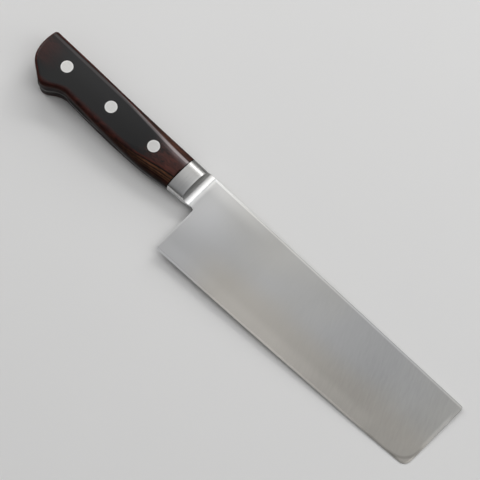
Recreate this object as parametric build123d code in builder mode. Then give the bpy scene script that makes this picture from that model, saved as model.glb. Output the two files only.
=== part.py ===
from build123d import *
import os
from math import atan2, cos, degrees, sin

# The knife is built straight: X runs along the spine to the front, Y points to the spine and Z to the
# right side, with the origin where the heel line meets the spine. At the end the finished pieces are
# laid down together on the left side, as the knife lies on a table.

# Blade
blade_length = 165.0
heel_height = 46.7
front_height = 41.1
edge_bow = 0.45
heel_slant = 0.4
front_slant = 0.5
front_corner_radius = 4.3
spine_corner_radius = 1.0
stock_thickness = 2.0
front_thickness = 1.7
edge_thickness = 0.5
bevel_width = 1.1
edge_land = 0.04
bevel_runout_angle = 10.0
spine_easing = 0.4

# Neck, between the heel line and the end of the bolster's cove
neck_length = 2.7
neck_height = 19.2
choil_radius = 1.5
grind_start = 1.5
grind_runout_radius = 30.0

# Bolster
bolster_block_length = 9.25
bolster_thickness = 12.0
bolster_drop = 0.45
bolster_height = 19.8
bolster_seam_share = 1.02
bolster_rounding = 6.6
bolster_belly_rounding = 7.5
cove_radius = 5.6
cove_bite = 0.02
seam_gap = 0.15

# Grip
grip_length = 98.8
grip_height = 22.1
butt_thickness = 17.0
butt_length = 28.2
butt_depth = 26.9
butt_corner_radius = 2.2
back_hollow = 1.0
joint_hollow_share = 0.85
joint_height_share = 0.941
edge_rounding = 2.0

# Rivets
rivet_diameter = 6.5
rivet_head = 1.6
post_diameter = 3.0
socket_diameter = 4.4
rivet_clearance = 0.05
post_end_gap = 0.4

# How far cuts reach past what they cut
overrun = 3.0

# Places that follow from the sizes
half_stock = stock_thickness / 2
half_front = front_thickness / 2
half_edge = edge_thickness / 2
half_land = edge_land / 2
half_bolster = bolster_thickness / 2
half_butt = butt_thickness / 2
cove_z = half_stock + cove_radius - cove_bite
block_x = -neck_length - (cove_radius**2 - (cove_z - half_bolster) ** 2) ** 0.5
seam_x = block_x - bolster_block_length
butt_x = seam_x - grip_length
joint_x = butt_x + butt_length
side_lean = (half_butt - half_bolster) / grip_length
corner_depth = half_bolster - half_stock


def half_grip(x):
    """Half of the grip's thickness, which grows evenly from the bolster to the butt."""
    return half_bolster + side_lean * (seam_x - x)


def grip_section(x, top, bottom, half, top_round, bottom_round, depth):
    """The closed outline across the grip: flat sides, back and belly, joined by elliptical corners."""
    with BuildSketch(Plane.YZ.offset(x)) as section:
        with BuildLine():
            right_back = EllipticalCenterArc((top - top_round, half - depth), top_round, depth, 0)
            right_belly = EllipticalCenterArc((bottom + bottom_round, half - depth), bottom_round, depth, 90)
            left_belly = EllipticalCenterArc((bottom + bottom_round, depth - half), bottom_round, depth, 180)
            left_back = EllipticalCenterArc((top - top_round, depth - half), top_round, depth, 270)
            Line(right_back @ 1, right_belly @ 0)
            Line(right_belly @ 1, left_belly @ 0)
            Line(left_belly @ 1, left_back @ 0)
            Line(left_back @ 1, right_back @ 0)
        make_face()
    return section.sketch


# The whole form of grip and bolster, from which the scales, the tang and the bolster cheeks are taken.
# It starts as the butt with its beak, as deep shares of the butt's length and depth.
joint_top = -back_hollow * joint_hollow_share
joint_bottom = joint_top - grip_height * joint_height_share
butt_shares = ((0.1, 0.69), (0.35, 0.905))
beak_share = 0.535
hook_shares = (0.73, 0.905)
butt_back = (butt_x + edge_rounding / 2, joint_top)
beak_tip = (butt_x + butt_length * beak_share, -butt_depth)
hook = (butt_x + butt_length * hook_shares[0], -butt_depth * hook_shares[1])
butt_curve = [(butt_x + butt_length * along, -butt_depth * down) for along, down in butt_shares]

# Stations along the grip in front of the butt, as shares of the grip's length from the bolster, each
# with the shares of the back's hollow and of the height, and the corners' shares on back and belly
station_shares = (
    (0.49, 1.0, 0.98, 0.36, 0.32, 0.5),
    (0.29, 0.9, 1.0, 0.52, 0.58, 0.72),
    (0.13, 0.6, 0.985, 0.78, 0.95, 0.97),
)

# The planes of the grip's flat sides
right_side = Plane(origin=(seam_x, 0, half_bolster), x_dir=(-1, 0, side_lean), z_dir=(side_lean, 0, 1))
left_side = Plane(origin=(seam_x, 0, -half_bolster), x_dir=(-1, 0, -side_lean), z_dir=(side_lean, 0, -1))

with BuildPart() as grip_form:
    with BuildSketch(Plane.XY.offset(-half_butt - overrun)) as butt_outline:
        with BuildLine():
            Line((joint_x, joint_top), butt_back)
            Spline(butt_back, *butt_curve, beak_tip, tangents=[(-0.25, -1), (1, 0)])
            Spline(beak_tip, hook, (joint_x, joint_bottom), tangents=[(1, 0), (1, 0)])
            Line((joint_x, joint_bottom), (joint_x, joint_top))
        make_face()
        fillet(butt_outline.vertices().sort_by_distance(butt_back)[0], butt_corner_radius)
    extrude(amount=butt_thickness + 2 * overrun)
    split(bisect_by=right_side, keep=Keep.BOTTOM)
    split(bisect_by=left_side, keep=Keep.BOTTOM)
    flat_sides = grip_form.faces().sort_by(Axis.Z)
    rims = flat_sides[0].edges() + flat_sides[-1].edges()
    fillet([rim for rim in rims if rim.center().X < joint_x - edge_rounding], edge_rounding)
    joint_face = grip_form.faces().sort_by(Axis.X)[-1]
    stations = [joint_face]
    for along, hollow, height, back_share, belly_share, depth_share in station_shares:
        station_x = seam_x - grip_length * along
        station_top = -back_hollow * hollow
        stations.append(
            grip_section(
                station_x,
                station_top,
                station_top - grip_height * height,
                half_grip(station_x),
                bolster_rounding * back_share,
                bolster_belly_rounding * belly_share,
                corner_depth * depth_share,
            )
        )
    for station_x, height_share in ((seam_x, bolster_seam_share), (block_x, 1.0)):
        stations.append(
            grip_section(
                station_x,
                -bolster_drop,
                -bolster_drop - bolster_height * height_share,
                half_bolster,
                bolster_rounding,
                bolster_belly_rounding,
                corner_depth,
            )
        )
    loft(sections=stations)
    neck_section = grip_section(
        -neck_length, 0, -neck_height, half_bolster, bolster_rounding, bolster_belly_rounding, corner_depth
    )
    loft(sections=[stations[-1], neck_section])

# The grinding wheel's block takes the blade from its stock thickness down to the edge in one plane on
# each side, and runs out in a hollow in front of the neck
grind_along = Vector(blade_length, 0, half_front - half_stock)
grind_across = Vector(0, heel_height, half_stock - half_edge)
grind_plane = Plane(
    origin=(0, 0, half_stock), x_dir=grind_along, z_dir=grind_along.cross(grind_across)
)
with BuildPart() as grind:
    with BuildSketch(grind_plane):
        with Locations((grind_start - grind_runout_radius, overrun)):
            Rectangle(
                blade_length + grind_runout_radius + overrun,
                heel_height + 2 * overrun,
                align=(Align.MIN, Align.MAX),
            )
    extrude(amount=grind_runout_radius + overrun)
    wheel_place = (grind_start - grind_runout_radius, -heel_height / 2, half_stock)
    fillet(grind.edges().sort_by_distance(wheel_place)[0], grind_runout_radius)

# Outline of the blade and its neck
front_high = (blade_length, 0)
front_low = (blade_length - front_slant, -front_height)
heel_low = (heel_slant, -heel_height)
edge_middle = ((front_low[0] + heel_low[0]) / 2, (front_low[1] + heel_low[1]) / 2 - edge_bow)
choil = (0, -neck_height)
with BuildSketch(Plane.XY.offset(-half_stock)) as blade_outline:
    with BuildLine():
        Polyline(front_low, front_high, (-neck_length, 0), (-neck_length, -neck_height), choil, heel_low)
        ThreePointArc(heel_low, edge_middle, front_low)
    make_face()
    fillet(blade_outline.vertices().sort_by_distance(front_low)[0], front_corner_radius)
    fillet(blade_outline.vertices().sort_by_distance(front_high)[0], spine_corner_radius)
    fillet(blade_outline.vertices().sort_by_distance(choil)[0], choil_radius)

# The bevel is cut along the edge and round the front corner, where it leaves the outline and runs out
edge_line = blade_outline.edges().sort_by_distance(edge_middle)[0]
corner_line = blade_outline.edges().sort_by_distance(front_low)[0]
corner_turn = degrees(corner_line.length / front_corner_radius)
bevel_slope = (half_edge - half_land) / bevel_width
bevel_reach = 2 * bevel_width
corner_run = corner_line.trim(0, 1 - bevel_runout_angle / corner_turn)
with BuildLine() as bevel_path:
    heel_run = Line((edge_line @ 0) - (edge_line % 0) * overrun, edge_line @ 0)
    add(edge_line)
    add(corner_run)
    Line(corner_run @ 1, (corner_run @ 1) + (corner_run % 1) * front_height / 2)
with BuildPart() as bevel:
    with BuildSketch(Plane(origin=heel_run @ 0, x_dir=(0, 0, 1), z_dir=heel_run % 0)):
        with BuildLine():
            Polyline(
                (half_land, 0),
                (half_land + bevel_reach * bevel_slope, -bevel_reach),
                (half_land + bevel_reach * bevel_slope, overrun),
                (half_land, overrun),
                close=True,
            )
        make_face()
    sweep(path=bevel_path.line)

# Rivets: their places, as shares of the grip's length from the bolster and of its height from the spine
rivet_shares = {"rear": (0.81, 0.511), "middle": (0.495, 0.493), "front": (0.192, 0.482)}
rivet_spots = {
    name: (seam_x - grip_length * along, -grip_height * down)
    for name, (along, down) in rivet_shares.items()
}
tube_hole = socket_diameter / 2 + rivet_clearance
head_hole = rivet_diameter / 2 + rivet_clearance

# The tang fills the grip's outline between the scales
with BuildPart() as tang:
    add(grip_form.part)
    with BuildSketch(Plane.XY.offset(-half_stock)):
        with Locations((butt_x - overrun, overrun)):
            Rectangle(-butt_x + overrun, heel_height + overrun, align=(Align.MIN, Align.MAX))
    extrude(amount=stock_thickness, mode=Mode.INTERSECT)
    with BuildSketch(Plane.XY.offset(-half_stock)):
        with Locations(*rivet_spots.values()):
            Circle(tube_hole)
    extrude(amount=stock_thickness, mode=Mode.SUBTRACT)

# The blade and its neck, of one piece with the tang. Its spine and front are eased before it is ground.
with BuildPart() as blade:
    extrude(to_extrude=blade_outline.sketch, amount=stock_thickness)
    eased_points = ((blade_length / 2, 0), front_high, (blade_length, -front_height / 2))
    eased_edges = [
        blade.edges().sort_by_distance((*eased_point, height))[0]
        for eased_point in eased_points
        for height in (half_stock, -half_stock)
    ]
    fillet(eased_edges, spine_easing)
    add(grind.part, mode=Mode.SUBTRACT)
    mirror(grind.part, about=Plane.XY, mode=Mode.SUBTRACT)
    add(bevel.part, mode=Mode.SUBTRACT)
    mirror(bevel.part, about=Plane.XY, mode=Mode.SUBTRACT)
    add(tang.part)

# A bolster cheek: the form in front of the seam, hollowed by the cove that runs out on the neck
with BuildPart() as bolster_right:
    add(grip_form.part)
    with BuildSketch(Plane.XY.offset(half_stock)):
        with Locations((seam_x, overrun)):
            Rectangle(-seam_x, heel_height, align=(Align.MIN, Align.MAX))
    extrude(amount=half_bolster, mode=Mode.INTERSECT)
    with BuildSketch(Plane.XZ):
        with Locations((-neck_length, cove_z)):
            Circle(cove_radius)
    extrude(amount=heel_height, both=True, mode=Mode.SUBTRACT)
with BuildPart() as bolster_left:
    mirror(bolster_right.part, about=Plane.XY)

# A grip scale: the part of the form behind the seam, with a stepped hole for each rivet
with BuildPart() as scale_right:
    add(grip_form.part)
    with BuildSketch(Plane.XY.offset(half_stock)):
        with Locations((seam_x - seam_gap, overrun)):
            Rectangle(grip_length + overrun, heel_height, align=(Align.MAX, Align.MAX))
    extrude(amount=half_butt + overrun, mode=Mode.INTERSECT)
    with BuildSketch(Plane.XY.offset(half_stock)):
        with Locations(*rivet_spots.values()):
            Circle(tube_hole)
    extrude(amount=half_butt, mode=Mode.SUBTRACT)
    for rivet_x, rivet_y in rivet_spots.values():
        with BuildSketch(Plane.XY.offset(half_grip(rivet_x) - rivet_head)):
            with Locations((rivet_x, rivet_y)):
                Circle(head_hole)
        extrude(amount=rivet_head + overrun, mode=Mode.SUBTRACT)
with BuildPart() as scale_left:
    mirror(scale_right.part, about=Plane.XY)


def rivet_post(x, y):
    """The rivet half with the solid shank, its head ground flush with the right side."""
    seat = half_grip(x) - rivet_head
    with BuildPart() as post:
        with BuildSketch(Plane.XY.offset(post_end_gap - seat)):
            with Locations((x, y)):
                Circle(post_diameter / 2)
        extrude(amount=2 * seat - post_end_gap)
        with BuildSketch(Plane.XY.offset(seat)):
            with Locations((x, y)):
                Circle(rivet_diameter / 2)
        extrude(amount=rivet_head + overrun)
        split(bisect_by=right_side, keep=Keep.BOTTOM)
    return post


def rivet_socket(x, y):
    """The rivet half with the tube that takes the post, its head ground flush with the left side."""
    seat = half_grip(x) - rivet_head
    with BuildPart() as socket:
        with BuildSketch(Plane.XY.offset(-seat)):
            with Locations((x, y)):
                Circle(socket_diameter / 2)
                Circle(post_diameter / 2 + rivet_clearance, mode=Mode.SUBTRACT)
        extrude(amount=2 * seat - post_end_gap)
        with BuildSketch(Plane.XY.offset(-seat)):
            with Locations((x, y)):
                Circle(rivet_diameter / 2)
        extrude(amount=-rivet_head - overrun)
        split(bisect_by=left_side, keep=Keep.BOTTOM)
    return socket


pieces = {
    "blade": blade,
    "bolster_right": bolster_right,
    "bolster_left": bolster_left,
    "scale_right": scale_right,
    "scale_left": scale_left,
}
for name, (rivet_x, rivet_y) in rivet_spots.items():
    pieces[name + "_rivet_post"] = rivet_post(rivet_x, rivet_y)
    pieces[name + "_rivet_socket"] = rivet_socket(rivet_x, rivet_y)

# The knife lies on its left side: first rolled until the ground face is level at the front, then
# pitched until the front and the bolster's block touch the table together
lying_roll = atan2(half_stock - half_edge, heel_height)
block_low = bolster_drop + bolster_height - bolster_belly_rounding
block_reach = half_bolster * cos(lying_roll) + block_low * sin(lying_roll)
lying_pitch = atan2(block_reach - half_front, blade_length - block_x)
lying = Rotation(0, degrees(lying_pitch), 0) * Rotation(degrees(lying_roll), 0, 0)
laid_box = Compound([piece.part.moved(lying) for piece in pieces.values()]).bounding_box()
place = Location((-laid_box.center().X, -laid_box.center().Y, -laid_box.min.Z)) * lying

os.makedirs("parts", exist_ok=True)
for name, piece in pieces.items():
    piece.part.label = name
    piece.part.move(place)
    export_step(piece.part, f"parts/{name}.step")
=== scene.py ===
from math import atan2, cos, pi, radians, sin, sqrt
from types import SimpleNamespace

import bmesh
import bpy
import numpy as np
from mathutils import Matrix, Vector


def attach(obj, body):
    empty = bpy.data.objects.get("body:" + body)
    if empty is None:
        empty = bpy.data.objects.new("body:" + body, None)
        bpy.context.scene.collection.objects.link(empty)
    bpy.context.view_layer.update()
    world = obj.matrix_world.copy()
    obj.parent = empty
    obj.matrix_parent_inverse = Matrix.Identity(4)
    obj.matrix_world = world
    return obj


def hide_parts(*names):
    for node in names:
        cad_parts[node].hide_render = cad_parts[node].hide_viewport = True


bl_info = {
    "name": "Vegetable knife",
    "version": (1, 0, 0),
    "blender": (4, 5, 0),
    "location": "View3D > Sidebar > Knife",
    "description": "Dresses a lying kitchen knife: ground blade, bolster, laminated grip scales and rivets",
    "category": "Object",
}

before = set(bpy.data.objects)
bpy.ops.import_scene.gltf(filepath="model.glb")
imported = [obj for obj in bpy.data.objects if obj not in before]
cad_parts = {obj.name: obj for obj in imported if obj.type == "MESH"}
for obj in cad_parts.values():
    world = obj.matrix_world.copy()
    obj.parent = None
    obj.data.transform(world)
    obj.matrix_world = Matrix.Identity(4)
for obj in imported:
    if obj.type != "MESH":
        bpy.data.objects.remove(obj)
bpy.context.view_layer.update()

# Stations of the grip between butt and bolster, the rear one first, each as six shares: of the grip's
# length from the seam, of the back's hollow, of the grip's height, of the widths of the bolster's back and
# belly corners, and of the corners' depth
STATION_SHARES = (
    (0.49, 1.0, 0.98, 0.36, 0.32, 0.5),
    (0.29, 0.9, 1.0, 0.52, 0.58, 0.72),
    (0.13, 0.6, 0.985, 0.78, 0.95, 0.97),
)

# The shares of the hollow and of the grip's height where the butt starts, and of the bolster's height at
# the seam
JOINT_HOLLOW_SHARE = 0.85
JOINT_HEIGHT_SHARE = 0.941
SEAM_HEIGHT_SHARE = 1.02

# The butt's outline: points down its end, the beak's tip and the hook in front of it, as shares of the
# butt's length from its end and of its depth, and the directions in which its curves start and end
BUTT_SHARES = ((0.1, 0.69), (0.35, 0.905))
BEAK_SHARE = 0.535
HOOK_SHARES = (0.73, 0.905)
BUTT_START_SLOPE = (-0.25, -1.0)
FORWARD = (1.0, 0.0)

# The rivets' places, as shares of the grip's length from the seam and of its height from the spine line
RIVET_SHARES = {"rear": (0.81, 0.511), "middle": (0.495, 0.493), "front": (0.192, 0.482)}

# The full corners of bolster and grip are a little wider and flatter than ellipses
CORNER_SPREAD = 0.38
CORNER_FULLNESS = 0.5

# The laminated wood's veneers from the tang outwards with their thickness in metres, the dark glue between
# them, and how much of the sides' lean they follow
VENEERS = (
    ("red", 0.00040), ("brown", 0.00045), ("red", 0.00040), ("red", 0.00040), ("brown", 0.00045),
    ("red", 0.00040), ("brown", 0.00045), ("red", 0.00040), ("brown", 0.00040), ("brown", 0.00043),
    ("brown", 0.00042), ("purple", 0.00150),
)
GLUE = 0.00014
VENEER_LEAN_SHARE = 0.85

# Levels above the tang's side where the charcoal top veneer starts and where it covers the broad face
TOP_VENEER_LEVEL = 0.00476
FACE_LEVEL = 0.00490

# The dark of the joint at the bolster and of the rings round the rivets, in linear light
JOINT_SHADE = (0.002, 0.002, 0.002)

# How deep the grain of bolster and rivets, the blade's satin and the wood's pores are, in metres
GRAIN_DEPTH = 1.0e-6
SATIN_DEPTH = 1.6e-6
PORE_DEPTH = 0.00001

# The slant of the blade's satin streaks
STREAK_TURN = radians(-24)

# Points of a mesh nearer than this become one, shorter edges than the shortest go, and edges sharper than
# the crease angle stay sharp
MERGE_DISTANCE = 2e-6
SHORTEST_EDGE = 1e-7
CREASE_ANGLE = radians(28)
HOLE_SIDES = 72


def size(name, description, default):
    """A length that a user may change."""
    return bpy.props.FloatProperty(
        name=name, description=description, default=default, precision=5, subtype="DISTANCE", unit="LENGTH"
    )


def share(name, description, default):
    """A number from none to all."""
    return bpy.props.FloatProperty(
        name=name, description=description, default=default, min=0.0, max=1.0, subtype="FACTOR"
    )


def colour(name, description, default):
    """A colour in linear light."""
    return bpy.props.FloatVectorProperty(
        name=name, description=description, default=default, min=0.0, max=1.0, subtype="COLOR"
    )


def camera_angle(name, description, default):
    """An angle of the camera, in radians."""
    return bpy.props.FloatProperty(name=name, description=description, default=default, subtype="ANGLE")


class BladeSizes(bpy.types.PropertyGroup):
    """Sizes of the blade and its neck."""

    length: size("Length", "From the heel line to the front", 0.165)
    heel_height: size("Heel height", "From the spine to the edge at the heel", 0.0467)
    front_height: size("Front height", "From the spine to the edge at the front", 0.0411)
    edge_bow: size("Edge bow", "How far the edge bows out at its middle", 0.00045)
    front_corner: size("Front corner", "Radius of the corner of edge and front", 0.0043)
    bevel: size("Bevel", "Width of the bevel along the edge", 0.0011)
    stock: size("Stock", "Thickness of the steel at the spine", 0.002)
    front: size("Front thickness", "Thickness of the spine at the front", 0.0017)
    edge: size("Edge thickness", "Thickness where the bevel starts", 0.0005)
    neck_length: size("Neck length", "From the end of the cove to the heel line", 0.0027)
    neck_height: size("Neck height", "Height of the neck", 0.0192)


class BolsterSizes(bpy.types.PropertyGroup):
    """Sizes of the bolster."""

    block_length: size("Block length", "From the seam to the cove", 0.00925)
    thickness: size("Thickness", "Over both cheeks", 0.012)
    drop: size("Drop", "How far its back lies below the spine", 0.00045)
    height: size("Height", "From its back to its belly", 0.0198)
    rounding: size("Back rounding", "Width of the rounded back corner", 0.0066)
    belly_rounding: size("Belly rounding", "Width of the rounded belly corner", 0.0075)
    cove_radius: size("Cove radius", "Radius of the hollow that runs out on the neck", 0.0056)
    cove_bite: size("Cove bite", "How far the cove dips below the neck's side", 0.00002)
    seam_gap: size("Seam gap", "Joint line between bolster and scales", 0.00015)


class GripSizes(bpy.types.PropertyGroup):
    """Sizes of the grip."""

    length: size("Length", "From the seam to the butt", 0.0988)
    height: size("Height", "From its back to its belly at the fullest place", 0.0221)
    butt_thickness: size("Butt thickness", "Over both scales at the butt", 0.01699)
    butt_length: size("Butt length", "The stretch with the beak", 0.0282)
    butt_depth: size("Butt depth", "From the spine line to the beak", 0.0269)
    butt_corner: size("Butt corner", "Radius of the corner of back and butt", 0.0022)
    hollow: size("Hollow", "How far the back dips below the spine line", 0.001)
    edge_rounding: size("Edge rounding", "Rounding of the rims at the butt", 0.002)
    rivet: size("Rivet", "Diameter of a rivet's head", 0.0065)
    rivet_clearance: size("Rivet clearance", "Gap round a rivet's head", 0.00005)


class Finishes(bpy.types.PropertyGroup):
    """Colours and polish of the finishes."""

    steel: colour("Steel", "Ground stainless steel", (0.602, 0.594, 0.570))
    steel_cool: colour("Cool steel", "Where the steel looks cooler", (0.590, 0.591, 0.592))
    steel_warm: colour("Warm steel", "Along the blade's edge", (0.622, 0.594, 0.548))
    blade_roughness: share("Blade roughness", "Satin of the blade", 0.46)
    bolster_roughness: share("Bolster roughness", "Polish of the bolster", 0.29)
    rivet_roughness: share("Rivet roughness", "Polish of the rivets", 0.36)
    top_veneer: colour("Top veneer", "The charcoal layer on top of the wood", (0.0062, 0.0060, 0.0060))
    black_veneer: colour("Black veneer", "The blackest layers and the glue", (0.0042, 0.0032, 0.0028))
    purple_veneer: colour("Purple veneer", "The purplish-red layers", (0.048, 0.0115, 0.0075))
    brown_veneer: colour("Brown veneer", "The orange-brown layers", (0.076, 0.0310, 0.0148))
    red_veneer: colour("Red veneer", "The dark red layers", (0.048, 0.0090, 0.0062))
    wood_roughness: share("Wood roughness", "Under the polish", 0.5)
    # The next colour is a painted sheen: the light band along the back's corner by the bolster
    painted_sheen: colour("Worn wood", "Along the back's corner by the bolster", (0.23, 0.182, 0.185))
    # The next colour is a painted highlight: the light line where the back's corner starts
    painted_glint: colour("Glint", "The rubbed line where the back's corner starts", (0.44, 0.385, 0.38))
    polish: share("Polish", "How much of the clear polish covers the wood", 0.72)
    polish_roughness: share("Polish roughness", "The wood's clear polish", 0.17)


class StageSettings(bpy.types.PropertyGroup):
    """The floor, the lamps and the camera."""

    floor: colour("Floor", "The plain pale floor", (0.79, 0.785, 0.775))
    sky: colour("Sky", "The soft light from straight above", (0.345, 0.348, 0.355))
    horizon: colour("Horizon", "The dimmer light from the sides", (0.03, 0.031, 0.032))
    distance: size("Camera distance", "From the middle of the view", 1.0968)
    azimuth: camera_angle("Azimuth", "The camera's turn about the knife", radians(44.1))
    tilt: camera_angle("Tilt", "The camera's lean from square above", radians(16.5))
    lens: bpy.props.FloatProperty(name="Lens", description="Focal length", default=165.0, unit="CAMERA")


def places():
    """The sizes and the places that follow from them, in the straight knife's frame: X runs along the
    spine to the front, Y points to the spine, Z to the right side, and the heel line meets the spine at
    the origin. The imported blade's corners, turned straight, tell where that origin lies."""
    scene = bpy.context.scene
    blade, bolster, grip = scene.knife_blade, scene.knife_bolster, scene.knife_grip
    knife = SimpleNamespace(blade=blade, bolster=bolster, grip=grip)
    knife.half_stock = blade.stock / 2
    knife.half_bolster = bolster.thickness / 2
    knife.cove_z = knife.half_stock + bolster.cove_radius - bolster.cove_bite
    knife.neck_x = -blade.neck_length
    knife.block_x = knife.neck_x - sqrt(bolster.cove_radius**2 - (knife.cove_z - knife.half_bolster) ** 2)
    knife.seam_x = knife.block_x - bolster.block_length
    knife.butt_x = knife.seam_x - grip.length
    knife.joint_x = knife.butt_x + grip.butt_length
    knife.joint_top = -grip.hollow * JOINT_HOLLOW_SHARE
    knife.joint_bottom = knife.joint_top - grip.height * JOINT_HEIGHT_SHARE
    knife.side_lean = (grip.butt_thickness / 2 - knife.half_bolster) / grip.length
    knife.corner_depth = knife.half_bolster - knife.half_stock
    knife.roll = atan2(knife.half_stock - blade.edge / 2, blade.heel_height)
    block_low = bolster.drop + bolster.height - bolster.belly_rounding
    block_reach = knife.half_bolster * cos(knife.roll) + block_low * sin(knife.roll)
    knife.pitch = atan2(block_reach - blade.front / 2, blade.length - knife.block_x)
    knife.turn = np.array(Matrix.Rotation(knife.pitch, 3, "Y") @ Matrix.Rotation(knife.roll, 3, "X"))
    corners = read_points(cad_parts["blade"]) @ knife.turn
    knife.origin = knife.turn @ (corners.max(axis=0) - (blade.length, 0, knife.half_stock))
    knife.rivets = {
        name: (knife.seam_x - grip.length * along, -grip.height * down)
        for name, (along, down) in RIVET_SHARES.items()
    }
    knife.rivet_hole = grip.rivet / 2 + grip.rivet_clearance
    return knife


def read_points(piece):
    """The corners of a piece's mesh as rows."""
    points = np.empty(len(piece.data.vertices) * 3)
    piece.data.vertices.foreach_get("co", points)
    return points.reshape(-1, 3)


def lay_down(knife, points):
    """Points of the straight knife where they lie on the floor."""
    return points @ knife.turn.T + knife.origin


def half_grip(knife, x):
    """Half the grip's thickness at x: it grows evenly from the seam to the butt."""
    return knife.half_bolster + knife.side_lean * (knife.seam_x - x)


def curve_through(knots, values, at, slopes=None):
    """The cubic curve through values at the knots, with continuous curvature. Between two knots it is the
    straight line plus a cubic term for the bend at either end. Its ends are free, or have the slopes
    given."""
    knots = np.asarray(knots, float)
    values = np.asarray(values, float).reshape(len(knots), -1)
    steps = np.diff(knots)
    rises = np.diff(values, axis=0) / steps[:, None]
    count = len(knots)
    matrix = np.zeros((count, count))
    right = np.zeros_like(values)
    inner = np.arange(1, count - 1)
    matrix[inner, inner - 1] = steps[:-1]
    matrix[inner, inner] = 2 * (steps[:-1] + steps[1:])
    matrix[inner, inner + 1] = steps[1:]
    right[1:-1] = 6 * np.diff(rises, axis=0)
    matrix[0, 0] = matrix[-1, -1] = 1.0
    if slopes is not None:
        matrix[0, :2] = (2 * steps[0], steps[0])
        matrix[-1, -2:] = (steps[-1], 2 * steps[-1])
        right[0] = 6 * (rises[0] - slopes[0])
        right[-1] = 6 * (slopes[1] - rises[-1])
    bends = np.linalg.solve(matrix, right)
    at = np.asarray(at, float)
    left = np.clip(np.searchsorted(knots, at) - 1, 0, count - 2)
    step = steps[left][:, None]
    after = (at - knots[left])[:, None] / step
    before = 1 - after
    line = before * values[left] + after * values[left + 1]
    bend = ((before**3 - before) * bends[left] + (after**3 - after) * bends[left + 1]) * step**2 / 6
    return line + bend


def travelled(points):
    """The straight distances between points, added up from the first."""
    return np.concatenate([[0], np.cumsum(np.linalg.norm(np.diff(points, axis=0), axis=1))])


def plane_curve(points, slopes, count):
    """The smooth plane curve through points, run by the straight distances between them, with the
    directions given at its two ends."""
    points = np.asarray(points, float)
    knots = travelled(points)
    units = [np.asarray(slope, float) / np.linalg.norm(slope) for slope in slopes]
    return curve_through(knots, points, np.linspace(0, knots[-1], count), units)


def evenly(points, count):
    """The same path with count points at equal distances."""
    travel = travelled(points)
    at = np.linspace(0, travel[-1], count)
    return np.stack([np.interp(at, travel, column) for column in points.T], axis=1)


def outward(points, side):
    """Unit normals of a plane path: its direction turned by a quarter turn to the side."""
    run = np.gradient(points, axis=0)
    run /= np.linalg.norm(run, axis=1)[:, None]
    return side * np.stack([run[:, 1], -run[:, 0]], axis=1)


def butt_paths(knife, count):
    """The back's and the belly's share of the butt's outline, both from the joint to the middle of the
    butt. The back is a line, an arc and the start of a smooth curve; the belly is two smooth curves, from
    the joint over the hook to the beak and from there up the butt."""
    grip = knife.grip
    back_corner = np.array([knife.butt_x + grip.edge_rounding / 2, knife.joint_top])
    spread = np.array([grip.butt_length, -grip.butt_depth])
    corner = np.array([knife.butt_x, 0.0])
    beak = corner + spread * (BEAK_SHARE, 1.0)
    hook = corner + spread * HOOK_SHARES
    rises = [corner + spread * pair for pair in BUTT_SHARES]
    butt = plane_curve([back_corner, *rises, beak], (BUTT_START_SLOPE, FORWARD), 4 * count)
    belly = plane_curve([beak, hook, (knife.joint_x, knife.joint_bottom)], (FORWARD, FORWARD), 4 * count)
    fall = np.array(BUTT_START_SLOPE) / np.linalg.norm(BUTT_START_SLOPE)
    turn = np.arccos(-fall[0])
    reach = grip.butt_corner * np.tan(turn / 2)
    middle = back_corner + (reach, -grip.butt_corner)
    angles = np.linspace(pi / 2, pi / 2 + turn, count)
    arc = middle + grip.butt_corner * np.stack([np.cos(angles), np.sin(angles)], axis=1)
    travel = np.linalg.norm(butt - back_corner, axis=1)
    halfway = int(np.argmin(butt[:, 0]))
    down = butt[(travel > reach) & (np.arange(len(butt)) <= halfway)]
    back = np.concatenate([[(knife.joint_x, knife.joint_top)], arc, down])
    belly = np.concatenate([belly[::-1], butt[halfway:-1][::-1]])
    return evenly(back, count), evenly(belly, count)


def grip_outline(knife, front_count, butt_count):
    """Outline points, outward normals, corner widths and corner depths of the back and of the belly, in
    matching pairs from the seam to the middle of the butt. In front of the butt each is a smooth curve
    through its stations along X, and at the butt the corners are as wide and deep as the rims' rounding."""
    bolster, grip = knife.bolster, knife.grip
    stations = [(knife.joint_x, knife.joint_top, knife.joint_bottom) + (grip.edge_rounding,) * 3]
    for along, hollow, height, back, belly, depth in STATION_SHARES:
        top = -grip.hollow * hollow
        stations.append((
            knife.seam_x - grip.length * along, top, top - grip.height * height,
            bolster.rounding * back, bolster.belly_rounding * belly, knife.corner_depth * depth,
        ))
    for x, height in ((knife.seam_x, SEAM_HEIGHT_SHARE), (knife.block_x, 1.0)):
        stations.append((
            x, -bolster.drop, -bolster.drop - bolster.height * height,
            bolster.rounding, bolster.belly_rounding, knife.corner_depth,
        ))
    stations = np.array(stations)
    x = np.linspace(knife.seam_x - bolster.seam_gap, knife.joint_x, front_count)
    top, bottom, back_width, belly_width, depth = curve_through(stations[:, 0], stations[:, 1:], x).T
    back_butt, belly_butt = butt_paths(knife, butt_count)
    still = np.full(butt_count - 1, grip.edge_rounding)
    sides = []
    for low, width, butt, side in ((top, back_width, back_butt, 1), (bottom, belly_width, belly_butt, -1)):
        path = np.concatenate([np.stack([x, low], axis=1), butt[1:]])
        widths = np.concatenate([width, still])
        depths = np.concatenate([depth, still])
        sides.append((path, outward(path, side), widths, depths))
    return sides


def corner_curve(angles, fullness):
    """A corner from its outer end to its crown, as shares of its width and its height: the cosine and sine
    of the angles to the power 2 / (2 + fullness), an ellipse at no fullness."""
    power = 2 / (2 + fullness)
    return 1 - np.cos(angles) ** power, np.sin(angles) ** power


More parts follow.
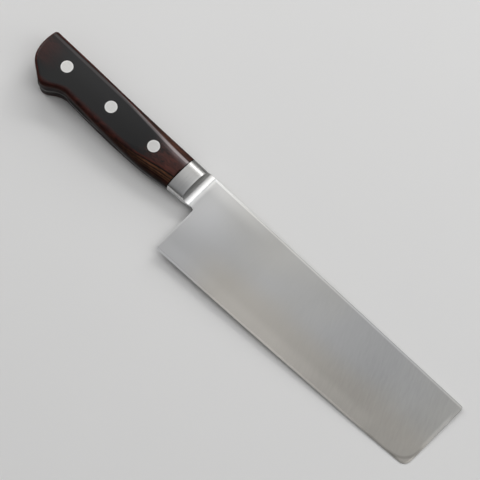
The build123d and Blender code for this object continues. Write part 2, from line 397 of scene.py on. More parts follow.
def finish_mesh(name, points, faces):
    """A closed object from grid points and faces: doubles merged, faces outward, smooth but for its
    creases."""
    mesh = bpy.data.meshes.new(name)
    mesh.from_pydata(points.tolist(), [], faces)
    tidy = bmesh.new()
    tidy.from_mesh(mesh)
    bmesh.ops.remove_doubles(tidy, verts=tidy.verts, dist=MERGE_DISTANCE)
    bmesh.ops.dissolve_degenerate(tidy, edges=tidy.edges, dist=SHORTEST_EDGE)
    bmesh.ops.recalc_face_normals(tidy, faces=tidy.faces)
    tidy.to_mesh(mesh)
    tidy.free()
    mesh.shade_smooth()
    mesh.set_sharp_from_angle(angle=CREASE_ANGLE)
    piece = bpy.data.objects.new(name, mesh)
    bpy.context.scene.collection.objects.link(piece)
    return piece


def ring_faces(rings, corners):
    """Quads between neighbouring closed rings of points, and one face that closes the first ring."""
    index = np.arange(rings * corners).reshape(rings, corners)
    beside = np.roll(index, -1, axis=1)
    quads = np.stack([index[:-1], beside[:-1], beside[1:], index[1:]], axis=-1).reshape(-1, 4)
    return quads.tolist() + [index[0][::-1].tolist()]


def scale_points(knife, front_count=150, butt_count=90, wall_count=4, corner_count=18, flat_count=30):
    """Rings of the right scale. Each ring joins a point of the back to its partner on the belly: up the
    wall, over a corner as wide and deep as it is there, straight over the flat side, over the belly's
    corner, down the wall and straight home along the tang. The flat side leans, so height is measured down
    from half the grip's thickness at each point's own x. The corners are fullest at the bolster and plain
    ellipses at the butt."""
    grip = knife.grip
    back, belly = grip_outline(knife, front_count, butt_count)
    quarter = np.linspace(0, pi / 2, corner_count)

    def side_of(path, normals, widths, depths):
        """The stretch of each ring up the wall and over the corner, on the back or on the belly."""
        fullest = knife.corner_depth - grip.edge_rounding
        full = np.clip((depths - grip.edge_rounding) / fullest, 0, 1)[:, None]
        inward, upward = corner_curve(quarter, CORNER_FULLNESS * full)
        inward = widths[:, None] * (1 + CORNER_SPREAD * full) * inward
        plane = path[:, None] - normals[:, None] * inward[:, :, None]
        height = half_grip(knife, plane[:, :, 0]) - depths[:, None] * (1 - upward)
        corner = np.concatenate([plane, height[:, :, None]], axis=2)
        rise = np.linspace(0, 1, wall_count, endpoint=False)[None, :, None]
        foot = np.concatenate([path, np.full((len(path), 1), knife.half_stock)], axis=1)[:, None]
        wall = foot + rise * (corner[:, :1] - foot)
        return np.concatenate([wall, corner], axis=1)

    up = side_of(*back)
    down = side_of(*belly)[:, ::-1]
    across = np.linspace(0, 1, flat_count + 2)[None, 1:-1, None]
    flat = up[:, -1:] + across * (down[:, :1] - up[:, -1:])
    flat[:, :, 2] = half_grip(knife, flat[:, :, 0])
    home = down[:, -1:] + across * (up[:, :1] - down[:, -1:])
    return np.concatenate([up, flat, down, home], axis=1)


def cheek_points(knife, block_count=16, cove_count=26, corner_count=30, flat_count=10):
    """Rings of the right bolster cheek. Across, a line runs over the back's corner, the flat side and the
    belly's corner. Along, it starts at the seam, keeps its height to the crease, where that height meets
    the cove's circle about an axis across the neck, and then follows the circle down."""
    blade, bolster = knife.blade, knife.bolster
    inward, upward = corner_curve(np.linspace(0, pi / 2, corner_count), CORNER_FULLNESS)
    top_width = bolster.rounding * (1 + CORNER_SPREAD)
    bottom_width = bolster.belly_rounding * (1 + CORNER_SPREAD)
    height = knife.half_stock + knife.corner_depth * upward
    level = np.full(flat_count, knife.half_bolster)
    z = np.concatenate([height, level, height[::-1]])
    blank = np.zeros(corner_count)
    ones = np.ones(corner_count)
    below_top = np.concatenate([top_width * inward, np.full(flat_count, top_width), blank])
    above_bottom = np.concatenate([blank, np.full(flat_count, bottom_width), bottom_width * inward[::-1]])
    part = np.concatenate([blank, np.linspace(0, 1, flat_count + 2)[1:-1], ones])
    crease = np.arccos(np.clip((knife.cove_z - z) / bolster.cove_radius, -1, 1))
    end = np.arccos((knife.cove_z - knife.half_stock) / bolster.cove_radius)
    crease_x = knife.neck_x - bolster.cove_radius * np.sin(crease)
    along = np.linspace(0, 1, block_count)[:, None]
    block_x = knife.seam_x + (crease_x - knife.seam_x) * along
    block_z = np.broadcast_to(z, block_x.shape)
    angle = crease + (end - crease) * np.linspace(0, 1, cove_count)[1:, None]
    cove_x = knife.neck_x - bolster.cove_radius * np.sin(angle)
    cove_z = knife.cove_z - bolster.cove_radius * np.cos(angle)
    x = np.concatenate([block_x, cove_x])
    z = np.concatenate([block_z, cove_z])
    knots = (knife.seam_x, knife.block_x, knife.neck_x)
    top = np.interp(x, knots, (-bolster.drop, -bolster.drop, 0))
    seam_low = -bolster.drop - bolster.height * SEAM_HEIGHT_SHARE
    bottom = np.interp(x, knots, (seam_low, -bolster.drop - bolster.height, -blade.neck_height))
    y = (top - below_top) * (1 - part) + (bottom + above_bottom) * part
    upper = np.stack([x, y, z], axis=2)
    across = np.linspace(0, 1, upper.shape[1])[None, 1:-1, None]
    home = upper[:, -1:] + across * (upper[:, :1] - upper[:, -1:])
    return np.concatenate([upper, home], axis=1)


def both_sides(points):
    """The right side's points and, with Z turned round, the left side's."""
    return {"right": points, "left": points * (1, 1, -1)}


def drill(piece, cutters):
    """Cut the rivets' holes out of a scale with the cutters, which go away afterwards."""
    for cutter in cutters:
        hole = piece.modifiers.new("Rivet hole", "BOOLEAN")
        hole.operation = "DIFFERENCE"
        hole.solver = "EXACT"
        hole.object = cutter
    bpy.context.view_layer.update()
    cut = bpy.data.meshes.new_from_object(piece.evaluated_get(bpy.context.evaluated_depsgraph_get()))
    piece.modifiers.clear()
    piece.data = cut
    for cutter in cutters:
        bpy.data.objects.remove(cutter)


def hole_cutter(knife, place, radius):
    """A round bar through the whole grip at a rivet's place."""
    angles = np.linspace(0, 2 * pi, HOLE_SIDES, endpoint=False)
    reach = 2 * knife.half_bolster
    circle = np.stack([place[0] + radius * np.cos(angles), place[1] + radius * np.sin(angles)], axis=1)
    rings = [np.column_stack([circle, np.full(len(angles), z)]) for z in (-reach, reach)]
    faces = ring_faces(2, len(angles)) + [list(range(len(angles), 2 * len(angles)))]
    return finish_mesh("hole_cutter", lay_down(knife, np.concatenate(rings)), faces)


class Wire:
    """A socket of a node tree. Sums and products of wires and numbers add Math nodes to the tree."""

    def __init__(self, tree, socket=None):
        self.tree = tree
        self.socket = socket

    def node(self, kind, settings=None, inputs=None, output=0):
        """Add a node of that kind: its settings and a ramp's stops are set first, then its inputs are
        linked or given their values, and the wire of the output asked for comes back."""
        made = self.tree.nodes.new(kind)
        for name, setting in (settings or {}).items():
            if name == "stops":
                self.set_stops(made.color_ramp.elements, setting)
            elif name == "step":
                made.color_ramp.interpolation = "CONSTANT"
            else:
                setattr(made, name, setting)
        for name, value in (inputs or {}).items():
            if isinstance(value, Wire):
                self.tree.links.new(value.socket, made.inputs[name])
            else:
                made.inputs[name].default_value = value
        return Wire(self.tree, made.outputs[output])

    def parts(self):
        """The three numbers of a place."""
        split = self.node("ShaderNodeSeparateXYZ", {}, {0: self}).socket.node
        return [Wire(self.tree, output) for output in split.outputs]

    @staticmethod
    def set_stops(elements, stops):
        """Give a ramp its stops, each a place and a colour."""
        while len(elements) < len(stops):
            elements.new(1.0)
        for element, (place, shade) in zip(elements, stops):
            element.position = place
            element.color = (*shade, 1.0)

    def math(self, operation, *values):
        """A Math node on values and wires."""
        return self.node("ShaderNodeMath", {"operation": operation}, dict(enumerate(values)))

    def __add__(self, other):
        return self.math("ADD", self, other)

    def __sub__(self, other):
        return self.math("SUBTRACT", self, other)

    def __rsub__(self, other):
        return self.math("SUBTRACT", other, self)

    def __mul__(self, other):
        return self.math("MULTIPLY", self, other)

    def __truediv__(self, other):
        return self.math("DIVIDE", self, other)

    __radd__ = __add__
    __rmul__ = __mul__

    def at_least(self, low):
        """This value, or low where it is less."""
        return self.math("MAXIMUM", self, low)

    def magnitude(self):
        """This value without its sign."""
        return self.math("ABSOLUTE", self)

    def across(self, other):
        """The long side of a right-angled triangle with this value and the other as its short sides."""
        return self.math("SQRT", self * self + other * other)

    def between(self, low, high, fade):
        """1 between low and high, fading to 0 over the fade at both ends."""
        return self.remap(low, low + fade) * self.fall(high - fade, high)

    def mix(self, first, second):
        """The first colour where this wire is 0 and the second where it is 1."""
        inputs = {0: self, 6: padded_colour(first), 7: padded_colour(second)}
        return self.node("ShaderNodeMix", {"data_type": "RGBA"}, inputs, 2)

    def remap(self, low, high, to_low=0.0, to_high=1.0):
        """This value spread smoothly from low and high to the new ends."""
        inputs = {"Value": self, "From Min": low, "From Max": high, "To Min": to_low, "To Max": to_high}
        return self.node("ShaderNodeMapRange", {"interpolation_type": "SMOOTHSTEP"}, inputs)

    def fall(self, low, high):
        """1 up to low, falling smoothly to 0 at high."""
        return self.remap(low, high, 1.0, 0.0)

    def noise(self, place, scale, detail=3.0, roughness=0.5, stretch=None, distortion=0.0):
        """Noise at a place, scale features to the metre, stretched where a stretch is given."""
        if stretch is not None:
            place = place.node("ShaderNodeVectorMath", {"operation": "MULTIPLY"}, {0: place, 1: stretch})
        inputs = {
            "Vector": place, "Scale": scale, "Detail": detail,
            "Roughness": roughness, "Distortion": distortion,
        }
        return self.node("ShaderNodeTexNoise", {}, inputs)

    def bump(self, height, strength, distance):
        """A normal from a height."""
        inputs = {"Height": height, "Strength": strength, "Distance": distance}
        return self.node("ShaderNodeBump", {}, inputs)


def padded_colour(value):
    """A colour with its alpha, or a wire as it is."""
    return value if isinstance(value, Wire) else (*value, 1.0)


def new_finish(name, knife=None):
    """A bare material: its tree's wire, its shader and, in the straight knife's frame, its place."""
    material = bpy.data.materials.new(name)
    material.use_nodes = True
    tree = material.node_tree
    tree.nodes.clear()
    tools = Wire(tree)
    shader = tree.nodes.new("ShaderNodeBsdfPrincipled")
    output = tree.nodes.new("ShaderNodeOutputMaterial")
    tree.links.new(shader.outputs[0], output.inputs["Surface"])
    place = tools.node("ShaderNodeTexCoord", output="Object")
    if knife is not None:
        turned = (knife.roll, knife.pitch, 0.0)
        inputs = {"Vector": place, "Location": tuple(knife.origin), "Rotation": turned}
        place = tools.node("ShaderNodeMapping", {"vector_type": "TEXTURE"}, inputs)
    return material, tools, shader, place


def plug(tools, shader, **inputs):
    """Link wires to the shader's sockets, or set values on them. Names have _ for a space."""
    for name, value in inputs.items():
        socket = shader.inputs[name.replace("_", " ")]
        if isinstance(value, Wire):
            tools.tree.links.new(value.socket, socket)
        else:
            socket.default_value = value


def ground_steel(tools, place, stretch, contrast):
    """The tone, the change of roughness and the height of ground steel: grain lines along the stretch's
    short side, from hair-fine to a millimetre, and soft clouds."""
    fine = tools.noise(place, 1.0, 2.0, 0.6, [value * 4200 for value in stretch])
    coarse = tools.noise(place, 1.0, 3.0, 0.65, [value * 1100 for value in stretch])
    cloud = tools.noise(place, 30.0, 2.0, 0.5, distortion=0.5)
    tone = 1.0 + (fine - 0.5) * contrast + (coarse - 0.5) * contrast + (cloud - 0.5) * 0.10
    polish = (coarse - 0.5) * 0.08 + (cloud - 0.5) * 0.08
    return tone, polish, coarse * 0.5 + fine * 0.5


def plug_steel(tools, shader, place, tone, polish, height, depth, warmth=None):
    """Finish a steel shader: the two steel colours drift into each other in broad clouds, and the warm one
    comes in where a warmth is given."""
    look = bpy.context.scene.knife_finishes
    drift = tools.noise(place, 14.0, 2.0, 0.5, distortion=0.3).remap(0.36, 0.66)
    tint = drift.mix(look.steel, look.steel_cool)
    if warmth is not None:
        tint = warmth.mix(tint, look.steel_warm)
    shade = tools.node("ShaderNodeVectorMath", {"operation": "SCALE"}, {0: tint, "Scale": tone})
    plug(
        tools, shader, Base_Color=shade, Metallic=1.0, Roughness=polish,
        Normal=tools.bump(height, 1.0, depth),
    )


def rivet_finish(knife):
    """The rivets' steel: a faint cross grain, and a rim that is a little brighter."""
    look = bpy.context.scene.knife_finishes
    material, tools, shader, place = new_finish("rivet_steel", knife)
    tone, polish, height = ground_steel(tools, place, (0.1, 1.0, 0.1), 0.16)
    rim = 1.0 - rivet_discs(knife, place, knife.grip.rivet * 0.34, knife.grip.rivet * 0.09)
    tone = tone * (rim * 0.12 + 1.27)
    plug_steel(tools, shader, place, tone, polish + look.rivet_roughness, height, GRAIN_DEPTH)
    return material


def bolster_finish(knife):
    """The bolster's steel: fine lines parallel to the seam, and painted shade along the block's back. The
    distance from the cove's axis is its radius in the cove and more on the block. The cove has painted
    shade where it starts steeply, far from the neck, and a painted highlight in the tail where it runs out,
    and the block's ledge beside the cove has a painted highlight too."""
    look = bpy.context.scene.knife_finishes
    radius = knife.bolster.cove_radius
    material, tools, shader, place = new_finish("bolster_steel", knife)
    x, y, z = place.parts()
    to_neck = knife.neck_x - x
    from_axis = to_neck.across(z.magnitude() - knife.cove_z)
    painted_cove_shade = from_axis.fall(radius * 1.01, radius * 1.03)
    painted_cove_shade = painted_cove_shade * to_neck.remap(radius * 0.7, radius * 0.93)
    tail = to_neck.fall(0.0010, 0.0021) * to_neck.remap(0.0, 0.0010, 0.6, 1.0)
    ledge = from_axis.remap(radius * 1.02, radius * 1.05)
    ledge = ledge * from_axis.fall(radius * 1.08, radius * 1.25)
    # Painted shade along the block's back, strongest on its rim, kept off the cove
    back = y.remap(-0.0095, -0.0045) * 0.27 + y.remap(-0.0042, -0.0026) * 0.35
    back = back * from_axis.remap(radius * 1.01, radius * 1.04)
    tone, polish, height = ground_steel(tools, place, (1.7, 0.02, 0.02), 0.20)
    # Painted light: shade where the cove starts steeply and along the back, highlights in the tail and on
    # the ledge
    tone = tone * (1.0 - painted_cove_shade * 0.62) * (1.0 + tail * 0.6 + ledge * 0.18) * (1.0 - back)
    plug_steel(tools, shader, place, tone, polish + look.bolster_roughness, height, GRAIN_DEPTH)
    return material


def inside_corner(from_edge, from_front, radius):
    """How far a place lies inside an outline of two borders and a round corner between them."""
    edge_short = (radius - from_edge).at_least(0.0)
    front_short = (radius - from_front).at_least(0.0)
    return radius - edge_short.across(front_short)


def blade_finish(knife):
    """The blade's satin steel, with painted light in its tone: painted light by the neck, the cove and the
    first stretch of the spine, painted shade towards the front, where slanting satin streaks show, and
    painted shade on the tang's rim. A belt along the edge is warmer, and close to the edge painted light
    makes it a little brighter. How far a place lies inside the outline tells the borders: the bevel along
    the edge with a painted highlight, painted highlights as light lines along spine, heel and front, the
    front corner's facet with a painted darker arc where it starts, and painted shade on the bevel near the
    front."""
    look = bpy.context.scene.knife_finishes
    blade = knife.blade
    material, tools, shader, place = new_finish("blade_steel", knife)
    x, y = place.parts()[:2]
    along = x / blade.length
    edge_depth = blade.heel_height + (blade.front_height - blade.heel_height) * along
    from_edge = y + edge_depth + along * (1 - along) * (4 * blade.edge_bow)
    from_front = blade.length - x
    inside = inside_corner(from_edge, from_front, blade.front_corner)
    facet = inside_corner(from_edge, from_front, 2.3 * blade.front_corner)
    arc = facet.between(-0.0002, 0.0020, 0.0008)
    arc = arc * from_edge.across(from_front).fall(0.008, 0.015)
    bevel = inside.fall(blade.bevel * 0.8, blade.bevel * 1.1)
    painted_front_highlight = from_front.fall(0.0012, 0.0026) * y.between(-0.034, -0.003, 0.010)
    painted_spine_highlight = y.between(-0.0013, -0.0002, 0.0003)
    painted_heel_highlight = x.between(-0.0002, 0.0009, 0.0003) * y.fall(-0.024, -0.020)
    painted_front_edge_shade = bevel * x.remap(0.125, 0.145)
    tone, polish, height = ground_steel(tools, place, (1.0, 0.03, 0.05), 0.05)
    slanting = {"Vector": place, "Rotation": (0.0, 0.0, STREAK_TURN)}
    streak_place = tools.node("ShaderNodeMapping", {"vector_type": "POINT"}, slanting)
    streak = tools.noise(streak_place, 1.0, 3.0, 0.6, (900, 110, 110))
    front_half = x.remap(0.05, 0.125)
    painted_neck_light = x.across(y + 0.009).fall(0.002, 0.030)
    painted_cove_light = x.fall(knife.neck_x - 0.0008, knife.neck_x + 0.0016)
    # Painted shade that darkens the tang's rim
    tang = x.fall(knife.seam_x - 0.0002, knife.seam_x + 0.0002)
    painted_edge_light = from_edge.remap(0.005, 0.010, 0.075, 0.0) * x.remap(0.02, 0.07, 0.6, 1.0)
    painted_edge_light = painted_edge_light * x.fall(0.120, 0.145)
    painted_edge_light = painted_edge_light - from_edge.remap(0.008, 0.030, 0.035, 0.0)
    painted_spine_light = y.remap(-0.009, -0.002) * x.fall(0.020, 0.045)
    # Painted light and shade: brighter by the neck, the cove, close to the edge and on the spine's first
    # stretch, darker towards the front
    tone = tone * (0.85 + painted_neck_light * 0.20 + painted_cove_light * 0.42 - front_half * 0.19 + painted_edge_light)
    tone = tone * (1.0 + painted_spine_light * 0.22)
    # Slanting satin streaks in the front half, and painted shade that darkens the tang's rim
    tone = tone * (1.0 + (streak - 0.5) * 0.20 * front_half) * (1.0 - tang * 0.88)
    # Painted highlights along the front, the spine, the heel and on the bevel
    tone = tone * (1.0 + painted_front_highlight * 0.25 + painted_spine_highlight * 0.35 + painted_heel_highlight * 0.2 + bevel * 0.5)
    # Painted shade: the darker arc where the front corner's facet starts, and the bevel near the front
    tone = tone * (1.0 - arc * 0.24 - painted_front_edge_shade * 0.30)
    warmth = from_edge.fall(0.010, 0.026) * x.remap(0.010, 0.040)
    plug_steel(tools, shader, place, tone, polish + look.blade_roughness, height, SATIN_DEPTH, warmth)
    return material


def rivet_discs(knife, place, radius, width):
    """A mask that is 1 within the radius of each rivet's axis and fades to 0 over the width outside it: the
    distance to the axis, taken in the plane of the grip, compared with the radius."""
    x, y = place.parts()[:2]
    discs = 0.0
    for rivet_x, rivet_y in knife.rivets.values():
        discs = (x - rivet_x).across(y - rivet_y).fall(radius, radius + width) + discs
    return discs


def veneer_stops(look, reach):
    """A ramp's stops over the reach outwards from the tang: for each veneer its glue and its own colour."""
    tones = {"purple": look.purple_veneer, "brown": look.brown_veneer, "red": look.red_veneer}
    stops = []
    foot = 0.0
    for name, thickness in VENEERS:
        stops += [(foot / reach, look.black_veneer), ((foot + GLUE) / reach, tones[name])]
        foot += thickness
    return stops


def wood_places(knife, tools, place):
    """Where a place of the wood lies, and its noises. The level is the height above the tang's side, less
    the lean that the veneers follow, and a little wavy, and the face takes off the whole lean. The shoulder
    is the distance above the line where the back's corner starts, and the belly the distance above the
    belly's outline. Streaks, pores and mottling are noises stretched along the grip, and the drift is X,
    blurred by noise. The ring and the joint are 1 round the rivets and at the bolster."""
    x, y, z = place.parts()
    wood = SimpleNamespace(x=x, y=y)
    lean = (knife.seam_x - x) * (knife.side_lean * VENEER_LEAN_SHARE)
    wave = tools.noise(place, 1.0, 2.0, 0.5, (30, 70, 70))
    ripple = tools.noise(place, 1.0, 3.0, 0.6, (180, 700, 700))
    wood.level = z.magnitude() - lean - knife.half_stock + (wave - 0.5) * 0.00016 + (ripple - 0.5) * 0.00008
    wood.face = wood.level - lean * (1.0 / VENEER_LEAN_SHARE - 1.0)
    wood.streak = tools.noise(place, 1.0, 4.0, 0.6, (75, 1300, 1300), 0.5)
    wood.pore = tools.noise(place, 1.0, 2.0, 0.5, (300, 5200, 5200))
    wood.mottle = tools.noise(place, 1.0, 3.0, 0.6, (260, 620, 620), 0.8)
    wood.drift = x + (wave - 0.5) * 0.010 + (wood.mottle - 0.5) * 0.016
    wood.shoulder = y - x.remap(-0.065, -0.022, -0.0024, -0.0042)
    wood.back_rim = wood.shoulder.remap(0.0002, 0.0010)
    wood.belly = y + x.remap(-0.1015, -0.088, knife.grip.butt_depth, 0.0219)
    wood.ring = rivet_discs(knife, place, knife.rivet_hole, 0.0003)
    wood.joint = x.remap(knife.seam_x - 0.0007, knife.seam_x - 0.0003)
    return wood


def stacked_veneers(tools, look, wood):
    """The veneers' colours by level, redder towards the butt and on the back's rim. Mottling and streaks
    make them lighter or darker, painted shade darkens them towards the tang and on the rims of back and
    belly, and dark pores are scattered over them."""
    reach = sum(thickness for name, thickness in VENEERS)
    settings = {"stops": veneer_stops(look, reach), "step": True}
    veneer = tools.node("ShaderNodeValToRGB", settings, {"Fac": wood.level / reach})
    redder = 1.0 - wood.x.remap(-0.065, -0.035, 0.25, 1.0) * wood.shoulder.remap(0.0, 0.0008, 1.0, 0.6)
    veneer = redder.mix(veneer, look.red_veneer)
    grain_and_painted_shade = 0.95 + wood.mottle.remap(0.3, 0.7, -0.4, 0.5) + (wood.streak - 0.5)
    # Painted shade: darker towards the tang and on the rims of back and belly
    grain_and_painted_shade = grain_and_painted_shade * wood.level.remap(0.0004, 0.0042, 0.3, 1.0)
    grain_and_painted_shade = grain_and_painted_shade * (1.0 - wood.back_rim * wood.x.between(-0.092, -0.030, 0.020) * 0.72)
    grain_and_painted_shade = grain_and_painted_shade * (1.0 - wood.belly.remap(0.0010, 0.0040, 0.45, 0.0))
    shade = tools.node("ShaderNodeVectorMath", {"operation": "SCALE"}, {0: veneer, "Scale": grain_and_painted_shade})
    return wood.pore.remap(0.60, 0.72, 0.0, 0.5).mix(shade, look.black_veneer)


def painted_back_sheen(look, wood, shade):
    """A painted sheen: the light, streaky band along the back's corner by the bolster."""
    painted_sheen_mask = wood.shoulder.remap(-0.0040, -0.0004) * wood.shoulder.fall(-0.0002, 0.0006)
    painted_sheen_mask = painted_sheen_mask * wood.x.remap(-0.052, -0.026) * wood.level.remap(0.0036, 0.0044)
    return (painted_sheen_mask * (0.75 + (wood.streak - 0.5) * 0.8)).mix(shade, look.painted_sheen)


def charcoal_top(look, wood, shade):
    """The charcoal top veneer on the broad face. It is sanded through softly towards the bolster and at
    the butt, and gone from the rims of back and belly."""
    at_butt = wood.drift.remap(-0.113, -0.099, 0.55, 0.0) * wood.y.remap(-0.0075, -0.0035, 1.0, 0.25)
    at_butt = at_butt * wood.y.remap(-0.021, -0.015)
    sanded = wood.drift.remap(-0.043, -0.025) + at_butt
    belly_rim = wood.belly.fall(0.0014, 0.0038)
    top = wood.face.remap(TOP_VENEER_LEVEL, FACE_LEVEL)
    top = top * (1.0 - sanded) * (1.0 - wood.back_rim) * (1.0 - belly_rim)
    return top.mix(shade, look.top_veneer)


def painted_back_glint(look, wood, shade):
    """A painted highlight: the thin light line where the back's corner starts, stronger towards
    the bolster.
    """
    painted_glint = wood.shoulder.between(-0.0017, 0.0002, 0.0006)
    painted_glint = painted_glint * (wood.x.remap(-0.062, -0.050, 0.10, 0.25) + wood.x.remap(-0.042, -0.028, 0.0, 0.41))
    return painted_glint.mix(shade, look.painted_glint)


def wood_polish(wood):
    """How much of the clear polish is left. It lies on the broad side and on its corners, but by the belly
    and the butt on the face alone. It is gone from the back's rim, the rings and the joint, and it thins
    towards the belly and the butt."""
    rim = 1.0 - (1.0 - wood.y.fall(-0.0135, -0.0115)) * (1.0 - wood.x.fall(-0.106, -0.100))
    wide = wood.level.remap(0.0026, 0.0042)
    polished = wide + (wood.face.remap(0.00466, FACE_LEVEL) - wide) * rim
    polished = polished * wood.shoulder.fall(-0.0006, 0.0002)
    polished = polished * (1.0 - wood.ring) * (1.0 - wood.joint) * wood.y.remap(-0.017, -0.005, 0.74, 1.0)
    return polished * wood.x.remap(-0.113, -0.095, 0.8, 1.0) * wood.belly.remap(0.0012, 0.0040, 0.3, 1.0)


def wood_finish(knife):
    """Laminated wood under a clear polish: the stacked veneers, the painted sheen on the back's corner, the
    charcoal top and the painted highlight line are laid over each other, and the joint and the rings round
    the rivets are dark."""
    look = bpy.context.scene.knife_finishes
    material, tools, shader, place = new_finish("laminated_wood", knife)
    wood = wood_places(knife, tools, place)
    shade = painted_back_sheen(look, wood, stacked_veneers(tools, look, wood))
    shade = painted_back_glint(look, wood, charcoal_top(look, wood, shade))
    shade = (1.0 - (1.0 - wood.ring) * (1.0 - wood.joint)).mix(shade, JOINT_SHADE)
    height = wood.streak * 0.4 - wood.pore.remap(0.6, 0.75) * 0.4
    plug(
        tools, shader, Base_Color=shade, Roughness=look.wood_roughness + (wood.streak - 0.5) * 0.2,
        Specular_IOR_Level=0.1, Normal=tools.bump(height, 0.5, PORE_DEPTH),
        Coat_Weight=wood_polish(wood) * look.polish, Coat_Roughness=look.polish_roughness,
    )
    return material


def floor_finish():
    """A plain pale floor with a faint unevenness of tone."""
    stage = bpy.context.scene.knife_stage
    material, tools, shader, place = new_finish("pale_floor")
    cloud = tools.noise(place, 9.0, 3.0, 0.5)
    darker = [value * 0.985 for value in stage.floor]
    lighter = [min(1.0, value * 1.015) for value in stage.floor]
    plug(tools, shader, Base_Color=cloud.mix(darker, lighter), Roughness=0.75, Specular_IOR_Level=0.2)
    return material


def dress(piece, material):
    """Give all of a piece's faces one material."""
    piece.data.materials.clear()
    piece.data.materials.append(material)


def recoat(node, material):
    """Give a carried-over piece a better material in each of its slots."""
    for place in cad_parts[node].material_slots:
        place.material = material


class KNIFE_OT_blade(bpy.types.Operator):
    """Give the blade with its neck and tang its satin ground steel"""

    bl_idname = "knife.blade"
    bl_label = "Blade"

    def execute(self, context):
        recoat("blade", blade_finish(places()))
        return {"FINISHED"}


class KNIFE_OT_bolster(bpy.types.Operator):
    """Make both bolster cheeks with their cove"""

    bl_idname = "knife.bolster"
    bl_label = "Bolster cheeks"

    def execute(self, context):
        knife = places()
        steel = bolster_finish(knife)
        right = cheek_points(knife)
        faces = ring_faces(*right.shape[:2])
        for side, points in both_sides(right).items():
            cheek = finish_mesh("cheek_" + side, lay_down(knife, points.reshape(-1, 3)), faces)
            dress(cheek, steel)
            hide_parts("bolster_" + side)
            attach(cheek, "root")
        return {"FINISHED"}


class KNIFE_OT_scales(bpy.types.Operator):
    """Make both grip scales of laminated wood with their rivet holes"""

    bl_idname = "knife.scales"
    bl_label = "Grip scales"

    def execute(self, context):
        knife = places()
        wood = wood_finish(knife)
        right = scale_points(knife)
        faces = ring_faces(*right.shape[:2])
        for side, points in both_sides(right).items():
            scale = finish_mesh("wood_" + side, lay_down(knife, points.reshape(-1, 3)), faces)
            drill(scale, [hole_cutter(knife, place, knife.rivet_hole) for place in knife.rivets.values()])
            dress(scale, wood)
            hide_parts("scale_" + side)
            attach(scale, "root")
        return {"FINISHED"}


class KNIFE_OT_rivets(bpy.types.Operator):
    """Give the rivets their ground steel"""

    bl_idname = "knife.rivets"
    bl_label = "Rivets"

    def execute(self, context):
        steel = rivet_finish(places())
        for place in RIVET_SHARES:
            recoat(place + "_rivet_post", steel)
            recoat(place + "_rivet_socket", steel)
        return {"FINISHED"}


# The lamps, all at one distance: direction from the knife in its own frame, width, height and brightness
LAMP_DISTANCE = 1.5
LAMPS = {
    "window": ((-0.33, 0.67, 0.66), 1.5, 0.28, 4.3),
    "top_softbox": ((-0.27, 0.46, 0.85), 0.7, 0.7, 0.35),
    "front_softbox": ((0.44, 0.18, 0.88), 0.7, 0.9, 1.75),
    "front_fill": ((0.80, 0.35, 0.50), 0.7, 0.7, 0.9),
    "rear_softbox": ((-0.50, 0.20, 0.84), 0.7, 0.7, 0.4),
    "rear_fill": ((-0.85, 0.0, 0.53), 0.7, 0.7, 2.6),
    "back_fill": ((0.0, 0.90, 0.43), 0.7, 0.7, 3.0),
}


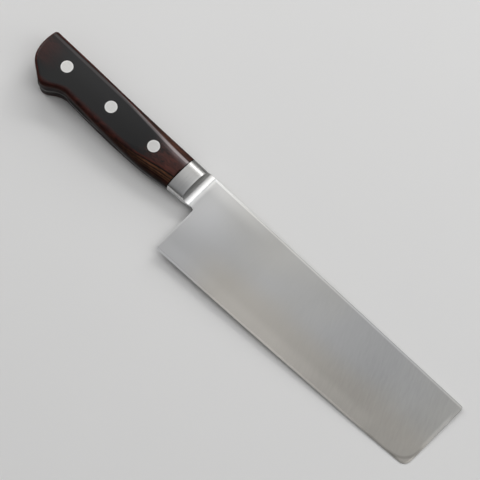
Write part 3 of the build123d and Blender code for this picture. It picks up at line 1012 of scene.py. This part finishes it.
class KNIFE_OT_stage(bpy.types.Operator):
    """Lay the pale floor and set the lamps, the surroundings and the camera"""

    bl_idname = "knife.stage"
    bl_label = "Stage"

    def execute(self, context):
        knife = places()
        self.lay_floor()
        self.hang_lamps(knife)
        self.set_surroundings(context)
        self.set_camera(context, knife)
        return {"FINISHED"}

    def lay_floor(self):
        """A flat square, half its width to each side."""
        half = 3.0
        points = np.array([(-half, -half, 0), (half, -half, 0), (half, half, 0), (-half, half, 0)])
        mesh = bpy.data.meshes.new("floor")
        mesh.from_pydata(points.tolist(), [], [(0, 1, 2, 3)])
        floor = bpy.data.objects.new("floor", mesh)
        bpy.context.scene.collection.objects.link(floor)
        dress(floor, floor_finish())

    def hang_lamps(self, knife):
        """Flat soft lamps that face the knife. A lamp's power is its brightness times pi times its area."""
        for name, (direction, width, height, brightness) in LAMPS.items():
            lamp = bpy.data.lights.new(name, "AREA")
            lamp.shape = "RECTANGLE"
            lamp.size = width
            lamp.size_y = height
            lamp.energy = brightness * pi * width * height
            holder = bpy.data.objects.new(name, lamp)
            towards = Vector(knife.turn @ np.array(direction)).normalized()
            holder.location = towards * LAMP_DISTANCE
            holder.rotation_euler = towards.to_track_quat("Z", "Y").to_euler()
            holder.visible_camera = False
            bpy.context.scene.collection.objects.link(holder)

    def set_surroundings(self, context):
        """Soft light that is brightest straight above and dims towards the horizon."""
        stage = context.scene.knife_stage
        world = bpy.data.worlds.new("surroundings")
        world.use_nodes = True
        tools = Wire(world.node_tree)
        upward = tools.node("ShaderNodeTexCoord").parts()[2]
        shade = upward.remap(0.0, 0.9).mix(stage.horizon, stage.sky)
        tools.tree.links.new(shade.socket, tools.tree.nodes["Background"].inputs["Color"])
        context.scene.world = world
        context.scene.view_settings.view_transform = "Standard"

    def set_camera(self, context, knife):
        """A long lens at the azimuth and tilt from square above the knife, aimed at a point beside its
        spine, with the picture's side kept level in the knife's own plane."""
        stage = context.scene.knife_stage
        turn_cos, turn_sin = cos(stage.azimuth), sin(stage.azimuth)
        aim = np.array([0.02751, -0.01441, 0.0])
        back = np.array([turn_sin * sin(stage.tilt), -turn_cos * sin(stage.tilt), cos(stage.tilt)])
        right = np.array([turn_cos, turn_sin, 0.0])
        axes = knife.turn @ np.stack([right, np.cross(back, right), back], axis=1)
        camera = bpy.data.cameras.new("camera")
        camera.lens = stage.lens
        camera.sensor_width = 36.0
        camera.clip_end = 20.0
        holder = bpy.data.objects.new("camera", camera)
        place = Matrix(axes.tolist()).to_4x4()
        place.translation = Vector(lay_down(knife, aim + back * stage.distance))
        holder.matrix_world = place
        context.scene.collection.objects.link(holder)
        context.scene.camera = holder


class KNIFE_PT_panel(bpy.types.Panel):
    """The knife's steps in the sidebar"""

    bl_label = "Knife"
    bl_idname = "KNIFE_PT_panel"
    bl_space_type = "VIEW_3D"
    bl_region_type = "UI"
    bl_category = "Knife"

    def draw(self, context):
        for step in STEPS:
            self.layout.operator(step.bl_idname)
        for group in GROUPS:
            settings = getattr(context.scene, group)
            for name in settings.bl_rna.properties.keys():
                if name not in ("rna_type", "name"):
                    self.layout.prop(settings, name)


STEPS = (KNIFE_OT_blade, KNIFE_OT_bolster, KNIFE_OT_scales, KNIFE_OT_rivets, KNIFE_OT_stage)
GROUPS = {
    "knife_blade": BladeSizes,
    "knife_bolster": BolsterSizes,
    "knife_grip": GripSizes,
    "knife_finishes": Finishes,
    "knife_stage": StageSettings,
}


def register():
    """Make the sizes, the steps and the panel known."""
    for group, kind in GROUPS.items():
        bpy.utils.register_class(kind)
        setattr(bpy.types.Scene, group, bpy.props.PointerProperty(type=kind))
    for kind in (*STEPS, KNIFE_PT_panel):
        bpy.utils.register_class(kind)


def unregister():
    """Take them away again, last ones first."""
    for kind in (KNIFE_PT_panel, *reversed(STEPS)):
        bpy.utils.unregister_class(kind)
    for group, kind in reversed(GROUPS.items()):
        delattr(bpy.types.Scene, group)
        bpy.utils.unregister_class(kind)


def main():
    """Dress the knife step by step."""
    register()
    bpy.ops.knife.blade()
    bpy.ops.knife.bolster()
    bpy.ops.knife.scales()
    bpy.ops.knife.rivets()
    bpy.ops.knife.stage()


if __name__ == "__main__":
    main()
